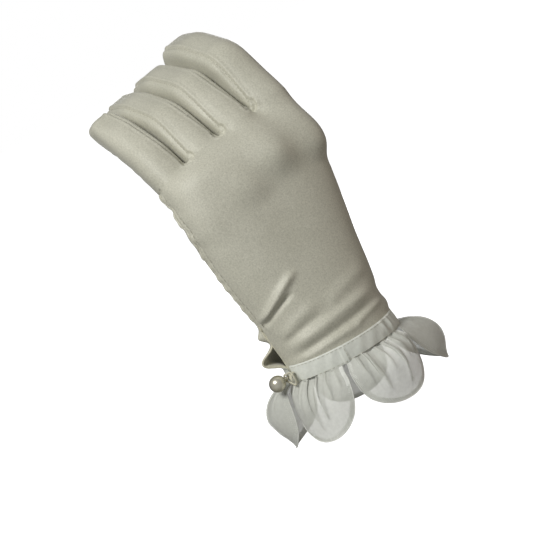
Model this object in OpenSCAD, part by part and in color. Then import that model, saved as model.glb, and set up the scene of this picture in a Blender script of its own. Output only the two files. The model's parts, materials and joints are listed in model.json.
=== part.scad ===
// Short satin glove for the left hand, curled fingers, organza petals and a pearl button at the wrist.
// Origin: centre of the wrist opening. +Z runs up to the fingers, +Y faces the palm, +X the index finger.

/* [Hand] */
// Width of the wrist opening
wrist_w = 58; // [54:1:62]
// Depth of the wrist opening, from the back of the hand to the palm
wrist_d = 46; // [43:1:48]
// Width of the hand across the knuckles
knuckle_w = 79; // [78:0.5:82]
// Depth of the hand across the knuckles
knuckle_d = 28; // [26:1:30]
// Thickness of the cloth
cloth = 1; // [0.8:0.1:1.2]

/* [Fingers] */
// Lean of the fingers towards the little-finger side, in degrees
finger_lean = 11; // [11:1:12]
// Width of a finger at its root
finger_w = 17.4; // [16:0.2:17.6]
// Travel of each finger from rest, either way, in degrees
finger_travel = 25; // [10:1:25]

/* [Cuff] */
// Height of the binding band
band_h = 8.5; // [7:0.5:10]
// Height of the top of the wrist slit
slit_h = 28; // [26:1:32]
// Number of petals round the wrist
petals = 5; // [5:1:5]
// Length of a petal below the band
petal_l = 30; // [20:1:32]
// Diameter of the pearl
pearl_d = 8; // [7:0.5:8]

/* [Hidden] */

satin = [0.80, 0.79, 0.71];
organza = [0.90, 0.90, 0.87];
cream = [0.88, 0.84, 0.70];
pearl_white = [0.93, 0.91, 0.86];

seam_gap = 0.8;        // degrees left between neighbouring panels
clear = 0.4;           // air between parts that move past each other
web_tilt = 35;         // forward tilt of the line where the fingers start
web_centre = [-3, 13.3, 110.5];
hand_up = [-sin(finger_lean), 0, cos(finger_lean)];
palmward = [0, 1, 0];
across = [cos(finger_lean), 0, sin(finger_lean)];
web_normal = hand_up * cos(web_tilt) + palmward * sin(web_tilt);

// A station of a tube: centre, width direction, depth direction, half width, half depth, roundness.
function level(z, x, y, a, b, e) = [x, y, z, 1, 0, 0, 0, 1, 0, a, b, e];
HAND = [
    level(0, 1, 0, wrist_w / 2, wrist_d / 2, 2),
    level(12, 0.5, 0, wrist_w / 2 - 0.5, wrist_d / 2 - 1, 2),
    level(25, 0, 1, wrist_w / 2 + 0.5, wrist_d / 2 - 3, 2.1),
    level(45, -1, 3, 33, 19, 2.2),
    level(65, -1, 5, 36, 18.5, 2.4),
    level(85, -1, 5, knuckle_w / 2 + 0.5, knuckle_d / 2 + 2, 2.5),
    level(97, 0, 5, knuckle_w / 2, knuckle_d / 2, 2.6),
    concat(web_centre, across, palmward * cos(web_tilt) - hand_up * sin(web_tilt), [38, 11.5, 3])
];
hand_top = len(HAND) - 1;

// Finger: knuckle, lengths of the three bones, their bends, thickness at root, two joints and tip
INDEX = [[28, 4, 100], [44, 25, 16], [26, 58, 78], [19.2, 18.4, 17.6, 16.2]];
MIDDLE = [[9, 1, 101], [46, 27, 17], [40, 72, 95], [19.2, 18.4, 17.4, 16.2]];
RING = [[-9.5, 2, 95], [43, 25, 17], [39, 68, 88], [18.8, 17.8, 17, 15.6]];
LITTLE = [[-27.5, 6, 88], [35, 19, 15], [31, 50, 66], [18, 17.2, 16.4, 14.8]];
bend_l = 14;           // length over which a finger joint bends
cap_steps = [20, 40, 58, 74, 86];
root_open = 8;         // length of finger over which the open V at the root closes

// Thumb: points along its middle, then its size from root to tip
THUMB = [[20, 14, 39], [24, 22, 41], [28, 31, 48], [29, 37, 60], [24, 41, 75], [16, 44, 90], [6, 46, 105]];
THUMB_SIZE = [[11, 11], [10.5, 10.5], [10, 10], [9.6, 9.4], [9.3, 9], [8.8, 8.6], [8, 7.8]];
thumb_split = 0.34;    // where the gusset ends and the moving thumb starts, as a share of its length

pearl_pos = [-35.2, -1.2, 1.9];
loop_r = 1.85;         // half the loop's width, to the middle of the cord
loop_l = 6;            // length of its straight runs
loop_d = 0.9;
loop_turn = [3, 0, 5]; // how the loop follows the band round the wrist

function unit(v) = v / norm(v);
function ease(t) = let(c = max(0, min(1, t))) c * c * (3 - 2 * c);
function sgn_pow(x, p) = sign(x) * pow(abs(x), p);
function part3(v, i) = [v[i], v[i + 1], v[i + 2]];

// Smooth curve through a list of vectors, t from 0 to the last index
function through(list, t) =
    let(n = len(list) - 1, i = min(floor(t), n - 1), f = t - i,
        p1 = list[i], p2 = list[i + 1],
        p0 = i > 0 ? list[i - 1] : 2 * p1 - p2, p3 = i < n - 1 ? list[i + 2] : 2 * p2 - p1)
    0.5 * (2 * p1 + (p2 - p0) * f + (2 * p0 - 5 * p1 + 4 * p2 - p3) * f * f
        + (3 * p1 - p0 - 3 * p2 + p3) * f * f * f);

// Point of a station's outline at angle u, moved inwards by inset
function rim(s, u, inset) =
    part3(s, 0) + part3(s, 3) * (s[9] - inset) * sgn_pow(cos(u), 2 / s[11])
        + part3(s, 6) * (s[10] - inset) * sgn_pow(sin(u), 2 / s[11]);
function steps(a, b, n) = [for (i = [0:n]) a + (b - a) * i / n];

// Closed sheet between an outer and an inner grid of points
module sheet(outer, inner, ring = false) {
    rows = len(outer);
    cols = len(outer[0]);
    points = concat([for (r = outer) each r], [for (r = inner) each r]);
    last = ring ? cols - 1 : cols - 2;
    function o(i, j) = i * cols + j % cols;
    function k(i, j) = rows * cols + o(i, j);
    function quad(a, b, c, d) = [[a, b, c], [a, c, d]];
    skin = [for (i = [0:rows - 2], j = [0:last]) each concat(
        quad(o(i, j), o(i + 1, j), o(i + 1, j + 1), o(i, j + 1)),
        quad(k(i, j), k(i, j + 1), k(i + 1, j + 1), k(i + 1, j)))];
    ends = [for (j = [0:last]) each concat(
        quad(o(0, j), o(0, j + 1), k(0, j + 1), k(0, j)),
        quad(o(rows - 1, j), k(rows - 1, j), k(rows - 1, j + 1), o(rows - 1, j + 1)))];
    sides = ring ? [] : [for (i = [0:rows - 2]) each concat(
        quad(o(i, 0), k(i, 0), k(i + 1, 0), o(i + 1, 0)),
        quad(o(i, cols - 1), o(i + 1, cols - 1), k(i + 1, cols - 1), k(i, cols - 1)))];
    polyhedron(points, concat(skin, ends, sides));
}

// Solid filled inside a grid of closed rings
module plug(rows) {
    n = len(rows);
    m = len(rows[0]);
    skin = [for (i = [0:n - 2], j = [0:m - 1]) each [
        [i * m + j, (i + 1) * m + j, (i + 1) * m + (j + 1) % m],
        [i * m + j, (i + 1) * m + (j + 1) % m, i * m + (j + 1) % m]]];
    polyhedron([for (r = rows) each r],
        concat(skin, [[for (j = [0:m - 1]) j]], [[for (j = [m - 1:-1:0]) (n - 1) * m + j]]));
}

// ---- Hand shell ----
function hand_at_z(z) = z < 12 ? z / 12 : z < 25 ? 1 + (z - 12) / 13 : 2 + (z - 25) / 20;
// Half the width of the wrist slit at a height, in degrees of the outline
function slit_half(z) = z >= slit_h ? 0 : 1 + 6 * sin(180 * max(0, z - 6) / (slit_h - 6));
hand_rows = concat(
    [for (z = steps(0, slit_h, 7)) hand_at_z(z)],
    steps(hand_at_z(slit_h), hand_top, 12));
function height_of(t) = through(HAND, t)[2];

module hand_sheet(u0, u1, cols, inset0 = 0, inset1 = cloth, rows = hand_rows, slit0 = 0, slit1 = 0) {
    function row(t, inset) =
        let(h = slit_half(height_of(t)), a = u0 + seam_gap + slit0 * h, b = u1 - seam_gap - slit1 * h)
        [for (u = steps(a, b, cols)) rim(through(HAND, t), u, inset)];
    sheet([for (t = rows) row(t, inset0)], [for (t = rows) row(t, inset1)]);
}

module back_panel() color(satin) hand_sheet(180, 360, 22, slit0 = 0.3);

module palm_panel() color(satin) difference() {
    hand_sheet(0, 180, 22, slit1 = 1.7);
    plug([for (t = steps(0, 1.4, 4)) [for (u = [0:20:340]) rim(thumb_station(t), u, -0.2)]]);
}

module side_seam() color(satin)
    hand_sheet(178.2, 181.8, 2, -1.3, -0.15, rows = steps(hand_at_z(slit_h + 4), hand_top - 0.1, 14));

module slit_facing(u0, u1) color(cream)
    hand_sheet(u0, u1, 6, cloth + 0.35, cloth + 1.05, rows = [for (z = steps(band_h + 1, slit_h - 1, 5)) hand_at_z(z)]);
module slit_facing_back() slit_facing(184, 194);
module slit_facing_palm() slit_facing(154, 166);

module bar_tack() color(cream)
    translate(rim(through(HAND, hand_at_z(slit_h + 1.5)), 180, -0.9)) cube([1, 1.8, 4], center = true);

// The band runs from the loop end, round the back of the wrist, to the end that carries the pearl.
module cuff_band() color(organza)
    hand_sheet(190, 546, 44, -0.95, -0.1, rows = [for (z = steps(0, band_h, 3)) hand_at_z(z)]);

// ---- Petals ----
petal_pitch = 360 / petals;
petal_flare = [8, 8, 16, 11, 15]; // how far the middle of each petal stands out from the wrist
edge_flare = 4;        // how far its edges do
petal_turn = 0.45;     // share of its length at which a petal has turned down
petal_lap = 2.8;       // how far one side of a petal stands over its neighbour
function petal_half(t) = petal_pitch * (0.49 + 0.04 * ease((t - 0.15) / 0.2))
    * (t < 0.35 ? 1 : sqrt(max(0.02, 1 - pow((t - 0.35) / 0.65, 2.2))));
// Each petal laps over its neighbour below the band, so one side stands further out than the other.
module petal(i) {
    middle = 182 + petal_pitch * (i - 0.5);
    function at(t, v, inset) =
        let(half = petal_half(t), side = v * half / petal_half(0.3),
            lap = petal_lap * ease(t / 0.2) * (0.5 + 0.5 * side),
            flare = petal_flare[i - 1] + (edge_flare - petal_flare[i - 1]) * side * side,
            out = flare * sin(90 * min(1, t / petal_turn)),
            p = rim(HAND[0], middle + half * v, inset - 0.4 - lap - out))
        [p[0], p[1], -0.3 - petal_l * t];
    grid = [for (t = steps(0, 1, 9)) t];
    color(organza) sheet(
        [for (t = grid) [for (v = steps(-1, 1, 9)) at(1 - t, v, 0)]],
        [for (t = grid) [for (v = steps(-1, 1, 9)) at(1 - t, v, 0.7)]]);
}

// ---- Button ----
module along_x(p) translate(p) rotate([0, -90, 0]) children();
band_face = -29.0;
pivot = [band_face - 0.25, pearl_pos[1], pearl_pos[2]];
shank_l = 2.4;
shank_r = 0.9;
module shank_thread() color(cream) along_x([band_face, pearl_pos[1], pearl_pos[2]]) cylinder(h = 0.25, r = 1.2, $fn = 32);
module button_shank() color(pearl_white) along_x(pivot - [0.35, 0, 0]) cylinder(h = shank_l, r = shank_r, $fn = 32);
module pearl() color(pearl_white) difference() {
    translate(pearl_pos) sphere(d = pearl_d, $fn = 48);
    along_x(pivot) cylinder(h = 0.35 + shank_l, r = shank_r, $fn = 32);
}
// Elastic loop: two straight runs joined round the shank and at the sewn end
module button_loop() color(cream)
    translate([pivot[0] - loop_d, pearl_pos[1], pearl_pos[2]]) rotate(loop_turn) rotate([0, -90, 0]) {
        rotate_extrude(angle = 180, $fn = 32) translate([loop_r, 0]) circle(d = loop_d, $fn = 16);
        translate([0, -loop_l, 0]) rotate([0, 0, 180])
            rotate_extrude(angle = 180, $fn = 32) translate([loop_r, 0]) circle(d = loop_d, $fn = 16);
        for (x = [-loop_r, loop_r])
            translate([x, 0, 0]) rotate([90, 0, 0]) cylinder(h = loop_l, d = loop_d, $fn = 16);
    }
// A post of thread through the sewn end of the loop
module loop_tack() color(cream)
    translate([pivot[0] + 0.6, pearl_pos[1] - loop_l, pearl_pos[2] - 0.3]) rotate([0, 0, 20])
        cube([2, 1.4, 1.4], center = true);

// ---- Thumb ----
thumb_end = len(THUMB) - 1;
function thumb_dir(t) = unit(through(THUMB, min(t + 0.05, thumb_end)) - through(THUMB, max(t - 0.05, 0)));
function thumb_station(t) =
    let(n = thumb_dir(t), d = unit(cross(n, [1, 0, 0])), w = cross(d, n), size = through(THUMB_SIZE, t))
    concat(through(THUMB, t), w, d, size, [2.2]);
thumb_t0 = thumb_split * thumb_end;

// Rows of a moving tube: an open V at the root, the length, then a round tip
function tube_row(s, n, u0, u1, cols, inset, open) =
    [for (u = steps(u0 + seam_gap, u1 - seam_gap, cols))
        rim(s, u, inset) + n * open * (clear + s[10] * abs(sgn_pow(sin(u), 2 / s[11])) * tan(open_angle))];
open_angle = finger_travel + 10;
function shrunk(s, n, a, inset) =
    let(r = s[10] - inset)
    concat(part3(s, 0) + n * r * sin(a), part3(s, 3), part3(s, 6),
        [(s[9] - inset) * cos(a), r * cos(a), 2 + (s[11] - 2) * cos(a)]);

module thumb_half(u0, u1) {
    function rows(inset) = concat(
        [for (t = steps(thumb_t0, thumb_end, 12))
            tube_row(thumb_station(t), thumb_dir(t), u0, u1, 10, inset,
                1 - ease((t - thumb_t0) / 1.2))],
        [for (a = cap_steps)
            tube_row(shrunk(thumb_station(thumb_end), thumb_dir(thumb_end), a, inset), [0, 0, 0], u0, u1, 10, 0, 0)]);
    color(satin) sheet(rows(0), rows(cloth));
}
module thumb_back() thumb_half(180, 360);
module thumb_front() thumb_half(0, 180);
module thumb_gusset() {
    function rows(inset) = [for (t = steps(0.45, thumb_t0 - 0.02, 7))
        [for (u = [0:15:345]) rim(thumb_station(t), u, inset)]];
    color(satin) sheet(rows(0), rows(cloth), ring = true);
}

// ---- Fingers ----
function finger_len(f) = f[1][0] + f[1][1] + f[1][2];
function finger_angle(f, s) = f[2][0]
    + (f[2][1] - f[2][0]) * ease((s - f[1][0]) / bend_l + 0.5)
    + (f[2][2] - f[2][1]) * ease((s - f[1][0] - f[1][1]) / bend_l + 0.5);
function finger_dir(f, s) = let(a = finger_angle(f, s)) hand_up * cos(a) + palmward * sin(a);
finger_step = 1;
function finger_point(f, s) = s <= 0 ? f[0]
    : let(h = min(finger_step, s)) finger_point(f, s - h) + finger_dir(f, s - h / 2) * h;
function finger_root(f) = (web_centre - f[0]) * web_normal / (finger_dir(f, 0) * web_normal);
function finger_size(f, s) = let(k = [0, f[1][0], f[1][0] + f[1][1], finger_len(f)], d = f[3])
    lookup(s, [for (i = [0:3]) [k[i], d[i] / 2]]);
function finger_station(f, s) =
    let(a = finger_angle(f, s), r = finger_size(f, s))
    concat(finger_point(f, s), across, palmward * cos(a) - hand_up * sin(a), [min(r, finger_w / 2), r, 2.6]);

module finger_strip(f, u0, u1, cols = 5) {
    s0 = finger_root(f);
    s1 = finger_len(f);
    stations = [for (s = steps(s0, s1, 15)) [s, finger_station(f, s), finger_dir(f, s)]];
    tip = stations[15];
    function rows(inset) = concat(
        [for (q = stations) tube_row(q[1], q[2], u0, u1, cols, inset, 1 - ease((q[0] - s0) / root_open))],
        [for (a = cap_steps) tube_row(shrunk(tip[1], tip[2], a, inset), [0, 0, 0], u0, u1, cols, 0, 0)]);
    color(satin) sheet(rows(0), rows(cloth));
}
seam_u = 40;           // where the strips meet, from the finger's side line

module index_back_strip() finger_strip(INDEX, 180 + seam_u, 360, 7);
module index_palm_strip() finger_strip(INDEX, 0, 180 - seam_u, 7);
module index_fourchette() finger_strip(INDEX, 180 - seam_u, 180 + seam_u);
module middle_back_strip() finger_strip(MIDDLE, 180 + seam_u, 360 - seam_u);
module middle_palm_strip() finger_strip(MIDDLE, seam_u, 180 - seam_u);
module middle_fourchette_index_side() finger_strip(MIDDLE, -seam_u, seam_u);
module middle_fourchette_ring_side() finger_strip(MIDDLE, 180 - seam_u, 180 + seam_u);
module ring_back_strip() finger_strip(RING, 180 + seam_u, 360 - seam_u);
module ring_palm_strip() finger_strip(RING, seam_u, 180 - seam_u);
module ring_fourchette_middle_side() finger_strip(RING, -seam_u, seam_u);
module ring_fourchette_little_side() finger_strip(RING, 180 - seam_u, 180 + seam_u);
module little_back_strip() finger_strip(LITTLE, 180, 360 - seam_u, 7);
module little_palm_strip() finger_strip(LITTLE, seam_u, 180, 7);
module little_fourchette() finger_strip(LITTLE, -seam_u, seam_u);

back_panel();
palm_panel();
side_seam();
cuff_band();
slit_facing_back();
slit_facing_palm();
bar_tack();
petal(1);  // petal_1
petal(2);  // petal_2
petal(3);  // petal_3
petal(4);  // petal_4
petal(5);  // petal_5
pearl();
button_shank();
shank_thread();
button_loop();
loop_tack();
thumb_gusset();
thumb_back();
thumb_front();
index_back_strip();
index_palm_strip();
index_fourchette();
middle_back_strip();
middle_palm_strip();
middle_fourchette_index_side();
middle_fourchette_ring_side();
ring_back_strip();
ring_palm_strip();
ring_fourchette_middle_side();
ring_fourchette_little_side();
little_back_strip();
little_palm_strip();
little_fourchette();
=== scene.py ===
"""Looks for a short satin glove with curled fingers, an organza petal cuff and a pearl button.

The hand is one smooth distance field, meshed once and cut along its seams into the glove's own panels, so
neighbouring panels share their edges and their shading.
"""
import json
import math
import bpy
import numpy as np
import openvdb
from mathutils import Matrix, Vector


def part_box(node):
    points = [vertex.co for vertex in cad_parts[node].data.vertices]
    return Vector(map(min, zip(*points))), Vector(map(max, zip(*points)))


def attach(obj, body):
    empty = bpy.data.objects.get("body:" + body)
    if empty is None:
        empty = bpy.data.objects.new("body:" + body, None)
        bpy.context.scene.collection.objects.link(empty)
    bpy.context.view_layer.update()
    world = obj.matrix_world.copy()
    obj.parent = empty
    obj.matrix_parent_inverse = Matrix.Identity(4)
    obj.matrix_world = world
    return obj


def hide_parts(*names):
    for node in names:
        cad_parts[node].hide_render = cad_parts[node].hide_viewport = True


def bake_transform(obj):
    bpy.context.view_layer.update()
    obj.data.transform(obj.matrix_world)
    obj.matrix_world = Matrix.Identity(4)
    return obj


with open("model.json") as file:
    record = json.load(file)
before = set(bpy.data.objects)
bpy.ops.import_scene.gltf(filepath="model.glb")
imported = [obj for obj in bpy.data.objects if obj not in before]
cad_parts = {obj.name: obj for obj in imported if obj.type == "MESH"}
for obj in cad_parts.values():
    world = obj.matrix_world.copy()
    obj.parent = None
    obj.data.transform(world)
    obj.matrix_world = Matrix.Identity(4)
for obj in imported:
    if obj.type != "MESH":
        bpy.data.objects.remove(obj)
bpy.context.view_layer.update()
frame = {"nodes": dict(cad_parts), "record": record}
MM = 0.001
CLOTH = 0.6                      # satin thickness
VOXEL = 0.58

joints = {j["name"]: j for j in frame["record"]["behaviour"]["joints"]}
ACROSS = -np.array(joints["index_flex"]["axis"])          # across the fingers, towards the index side
UP = np.array([-ACROSS[2], 0, ACROSS[0]])                 # along the straight hand
PALM = np.array([0.0, 1.0, 0.0])
TO_WORK = np.array([ACROSS, PALM, UP])                    # row frame to (across, palmward, up)


def joint_point(name):
    return np.array(joints[name]["pos_m"]) / MM


# ---------------------------------------------------------------- small maths
def ease(t):
    t = np.clip(t, 0, 1)
    return t * t * (3 - 2 * t)


def bump(x, width):
    return np.exp(-(x / width) ** 2)


def smooth_min(a, b, k):
    h = np.clip(0.5 + 0.5 * (b - a) / k, 0, 1)
    return b * (1 - h) + a * h - k * h * (1 - h)


def smooth_max(a, b, k):
    return -smooth_min(-a, -b, k)


def curve(points, samples):
    """Catmull-Rom curve through points; returns samples per span, end included."""
    p = np.asarray(points, float)
    p = np.vstack([2 * p[0] - p[1], p, 2 * p[-1] - p[-2]])
    out = []
    for i in range(1, len(p) - 2):
        for f in np.linspace(0, 1, samples, endpoint=False):
            out.append(0.5 * (2 * p[i] + (p[i + 1] - p[i - 1]) * f
                              + (2 * p[i - 1] - 5 * p[i] + 4 * p[i + 1] - p[i + 2]) * f ** 2
                              + (3 * p[i] - p[i - 1] - 3 * p[i + 1] + p[i + 2]) * f ** 3))
    return np.array(out + [p[-2]])


def nearest(points, line):
    """For each column of points: the index of the nearest point of a line, and its distance."""
    best = np.full(points.shape[1], 1e9)
    where = np.zeros(points.shape[1], int)
    for i, at in enumerate(line):
        d = ((points - at[:, None]) ** 2).sum(axis=0)
        nearer = d < best
        best[nearer] = d[nearer]
        where[nearer] = i
    return where, np.sqrt(best)


class Waves:
    """Smooth, seeded noise: a sum of a few plane waves."""

    def __init__(self, seed, wavelength, count=9):
        rng = np.random.default_rng(seed)
        d = rng.normal(size=(count, 3))
        d /= np.linalg.norm(d, axis=1)[:, None]
        self.k = d * (2 * np.pi / (wavelength * rng.uniform(0.7, 1.4, count)))[:, None]
        self.phase = rng.uniform(0, 2 * np.pi, count)

    def __call__(self, p):
        return np.sin(p @ self.k.T + self.phase).mean(axis=1) * 2


# ---------------------------------------------------------------- the hand inside the glove
# Height, centre x, centre y, half width, half depth, roundness
HAND = np.array([
    (-12, 1.2, 0, 29.0, 23.0, 2.0),
    (0, 1, 0, 28.6, 22.6, 2.0),
    (12, 0.5, 0, 28.0, 21.8, 2.0),
    (25, 0.5, 1, 29.8, 20.0, 2.1),
    (45, -0.5, 3, 33.2, 18.8, 2.2),
    (65, -0.7, 5, 36.2, 18.2, 2.4),
    (85, -1.0, 5, 38.5, 15.8, 2.5),
    (97, -0.1, 5, 38.0, 13.8, 2.5)])
HAND_ROWS = curve(HAND, 12)
# Knuckle, bone lengths, bends from the straight hand, thickness at root, two joints and tip
FINGERS = {
    "index": ((29.2, 4, 100), (46, 24, 16), (26, 67, 86), (18.8, 18.8, 16.4, 16.0)),
    "middle": ((9, 1, 101), (46, 27, 18), (40, 74, 96), (19.2, 18.4, 17.6, 17.0)),
    "ring": ((-9.5, 2, 95), (43, 25, 18), (38, 69, 89), (18.8, 17.8, 17.0, 16.4)),
    "little": ((-27.5, 6, 88), (34, 18, 14), (29, 45, 60), (18.0, 17.2, 15.6, 13.8))}
NAMES = list(FINGERS)
FINGER_W = {"index": 21.0, "middle": 18.9, "ring": 19.0, "little": 18.3}
BEND = 11                  # length over which a finger joint bends
ROOT_RUN = 8               # how far a finger's middle line starts below its knuckle
THUMB = [(20, 14, 39), (24, 22, 41), (28, 31, 48), (29, 37, 60), (24, 41, 75), (16, 44, 90), (6, 46, 105)]
THUMB_R = [11, 10.6, 10, 9.5, 9.1, 8.6, 7.8]
THUMB_SPLIT = 0.34         # where the thumb leaves its gusset, as a share of its length
KNUCKLE_REACH = 6.5        # distance over which the back of the knuckles is evened out
HAND_CAP = 15              # height over which the palm rounds off above the knuckles
WEB_CENTRE = np.array([-3, 13.3, 110.5])
WEB_TILT = math.radians(35)
SLIT_TOP = 28
SLIT_X = -8                # the wrist slit's side of the glove lies beyond this x
# Where each slit between the fingers opens widest, how much on each side, and over what length
SLOT_GAPE = [(7, 0.12, 6), (7, 0.25, 6), (20, 0.30, 7)]
SLOT_HALF = 0.38           # half the width of those slits elsewhere
# The fourchettes of each finger: on its index side (_plus) or its little-finger side (_minus)
FOURCHETTES = {
    "index": {"_minus": "_fourchette"},
    "middle": {"_plus": "_fourchette_index_side", "_minus": "_fourchette_ring_side"},
    "ring": {"_plus": "_fourchette_middle_side", "_minus": "_fourchette_little_side"},
    "little": {"_plus": "_fourchette"}}
# x and height at each end of a wrist fold, its width, and its height (below 0 for a valley)
WRIST_FOLDS = [
    (-31, 29, -7, 47, 2.0, 1.7),
    (-31, 27, -13, 38, 1.3, -1.4),
    (-27, 20, -5, 29, 2.6, 0.7),
    (-27, 17, -5, 23, 1.8, -0.6),
    (-28, 14, 24, 21.5, 2.6, 1.35),
    (-28, 9.5, 25, 15.5, 2.0, -1.0),
    (-28, 7, 10, 11, 1.9, 0.8),
    (2, 11, 26, 13.5, 1.8, 0.7),
    (-4, 25, 26, 31, 3.2, 0.6)]
FOLD_BOW = 1.6             # how far a fold bows off its straight run
SEAM_STITCH = 2.9          # from the side seam to its topstitching


class Finger:
    def __init__(self, name):
        knuckle, bones, bends, thick = FINGERS[name]
        self.name = name
        self.w = float(np.array(knuckle) @ ACROSS)
        self.length = sum(bones)
        self.s = np.arange(-ROOT_RUN, self.length + 0.01, 0.75)
        self.s[-1] = self.length
        angle = bends[0] + (bends[1] - bends[0]) * ease((self.s - bones[0]) / BEND + 0.5)
        angle = angle + (bends[2] - bends[1]) * ease((self.s - bones[0] - bones[1]) / BEND + 0.5)
        self.angle = np.radians(angle)
        step = np.diff(self.s, prepend=self.s[0])
        self.y = np.cumsum(np.sin(self.angle) * step)
        self.a = np.cumsum(np.cos(self.angle) * step)
        zero = np.argmin(abs(self.s))
        self.y += knuckle[1] - self.y[zero]
        self.a += np.array(knuckle) @ UP - self.a[zero]
        stops = np.cumsum([0, *bones])
        depth = np.interp(self.s, stops, np.array(thick) / 2)
        self.depth = np.convolve(np.pad(depth, 6, "edge"), np.ones(13) / 13, "valid")
        taper = 0.20 if name == "little" else 0.10
        narrowing = taper * np.interp(self.s / self.length, [0, 0.5, 0.8, 1], [0, 0.15, 0.45, 1])
        if name == "index":
            narrowing = narrowing + 0.08 * (1 - ease(self.s / 18))
        self.width = FINGER_W[name] / 2 * (1 - narrowing)

    def tip_corner(self, side):
        """Where a seam ends at the fingertip, in the work frame."""
        deep = 0.80 * self.depth[-1]
        return np.array([self.w + side * 0.62 * self.width[-1], self.y[-1] + deep * math.sin(self.angle[-1]),
                         self.a[-1] + deep * math.cos(self.angle[-1])])

    def locate(self, y, a):
        """Nearest place along the middle line, distance from it in the finger's plane, signed depth."""
        where, rho = nearest(np.stack([y.ravel(), a.ravel()]), np.stack([self.y, self.a], 1))
        where, rho = where.reshape(y.shape), rho.reshape(y.shape)
        turn = self.angle[where]
        depth = (y - self.y[where]) * np.cos(turn) - (a - self.a[where]) * np.sin(turn)
        return where, rho, depth

    def field(self, w, y, a):
        where, rho, _ = self.locate(y, a)
        half_w, half_d = self.width[where], self.depth[where]
        n = 2.35 + 0.8 * ease((where / (len(self.s) - 1) - 0.78) / 0.2)
        return ((abs(w - self.w) / half_w) ** n + (rho / half_d) ** n) ** (1 / n) * half_w - half_w


def hand_field(x, y, z):
    """Palm and wrist: an oval loft that rounds off above the knuckles."""
    zc = np.clip(z, HAND[0, 0], HAND[-1, 0])
    col = [np.interp(zc, HAND_ROWS[:, 0], HAND_ROWS[:, i]) for i in range(1, 6)]
    over = np.clip((z - HAND[-1, 0]) / HAND_CAP, 0, 0.995)
    shrink = np.sqrt(1 - over ** 2)
    cx, cy, half_w, half_d, n = col
    half_w, half_d = half_w * shrink, half_d * shrink
    r = ((abs(x - cx) / half_w) ** n + (abs(y - cy) / half_d) ** n) ** (1 / n)
    return np.maximum((r - 1) * np.minimum(half_w, half_d), z - (HAND[-1, 0] + HAND_CAP))


thumb_line = curve(THUMB, 10)
thumb_r = np.interp(np.linspace(0, len(THUMB) - 1, len(thumb_line)), range(len(THUMB)), THUMB_R)
thumb_dir = np.gradient(thumb_line, axis=0)
thumb_dir /= np.linalg.norm(thumb_dir, axis=1)[:, None]
thumb_split = int(round(THUMB_SPLIT * (len(thumb_line) - 1)))


def thumb_locate(p):
    return nearest(p.T, thumb_line)


fingers = [Finger(n) for n in NAMES]
slit_w = [(fingers[i].w + fingers[i + 1].w) / 2 for i in range(3)]


def web_height(y, a):
    centre = TO_WORK @ WEB_CENTRE
    return (y - centre[1]) * math.sin(WEB_TILT) + (a - centre[2]) * math.cos(WEB_TILT)


def build_field():
    """The whole hand as distances from its surface on a grid, and the grid's low corner (work frame)."""
    low, high = np.array([-38.0, -27.0, -9.0]), np.array([63.0, 88.0, 170.0])
    n = ((high - low) / VOXEL).astype(int)
    w, y, a = (low[i] + VOXEL * np.arange(n[i]) for i in range(3))
    w3 = w[:, None, None]
    y2, a2 = np.meshgrid(y, a, indexing="ij")
    x3 = w3 * ACROSS[0] - a2 * ACROSS[2]
    z3 = w3 * ACROSS[2] + a2 * ACROSS[0]
    field = hand_field(x3, y2[None] + 0 * w3, z3)
    q = web_height(y2, a2)[None]
    k = 1.0 + 3.4 * (1 - ease((q + 6) / 9))
    for f in fingers:
        field = smooth_min(field, f.field(w3, y2[None], a2[None]), k)
    for ws, (reach, gape, spread) in zip(slit_w, SLOT_GAPE):
        slot = smooth_max(abs(w3 - ws) - SLOT_HALF - gape * bump(q - reach, spread), -q, 0.8)
        field = smooth_max(field, -slot, 1.1)
    # thumb, only where it can matter
    line = thumb_line @ TO_WORK.T
    around = 22
    lo = np.maximum(((line.min(axis=0) - around - low) / VOXEL).astype(int), 0)
    hi = np.minimum(((line.max(axis=0) + around - low) / VOXEL).astype(int), n)
    block = tuple(slice(lo[i], hi[i]) for i in range(3))
    g = np.stack(np.meshgrid(w[block[0]], y[block[1]], a[block[2]], indexing="ij"), -1).reshape(-1, 3)
    where, dist = thumb_locate(g @ TO_WORK)
    thumb = (dist - thumb_r[where]).reshape([s.stop - s.start for s in block])
    kt = (0.6 + 9 * (1 - ease(where / (thumb_split * 1.7)))).reshape(thumb.shape)
    field[block] = smooth_min(field[block], thumb, kt)
    return field.astype(np.float32), low


def trilinear(grid, low, p):
    u = (p - low) / VOXEL
    i = np.clip(u.astype(int), 0, np.array(grid.shape) - 2)
    f = u - i
    out = 0
    for dx in (0, 1):
        for dy in (0, 1):
            for dz in (0, 1):
                weight = (abs(1 - dx - f[:, 0])) * (abs(1 - dy - f[:, 1])) * (abs(1 - dz - f[:, 2]))
                out = out + weight * grid[i[:, 0] + dx, i[:, 1] + dy, i[:, 2] + dz]
    return out


def slope(grid, low, p):
    h = VOXEL * 0.75
    cols = []
    for axis in range(3):
        step = np.zeros(3)
        step[axis] = h
        cols.append((trilinear(grid, low, p + step) - trilinear(grid, low, p - step)) / (2 * h))
    return np.stack(cols, 1)


def skin_mesh():
    grid, low = build_field()
    vdb = openvdb.FloatGrid(background=5.0)
    vdb.copyFromArray(grid)
    points, quads = vdb.convertToQuads(0.0)[:2]
    p = np.asarray(points, float) * VOXEL + low
    for _ in range(3):
        g = slope(grid, low, p)
        size = np.maximum((g ** 2).sum(axis=1), 0.05)
        move = (trilinear(grid, low, p) / size)[:, None] * g
        p -= np.clip(move, -0.4, 0.4)
    q = np.asarray(quads, int)
    tri = np.vstack([q[:, [0, 1, 2]], q[:, [0, 2, 3]]])
    p = p @ TO_WORK
    a, b, c = (p[tri[:, i]] for i in range(3))
    volume = (np.cross(a, b) * c).sum() / 6
    return p, tri[:, ::-1] if volume < 0 else tri


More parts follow.
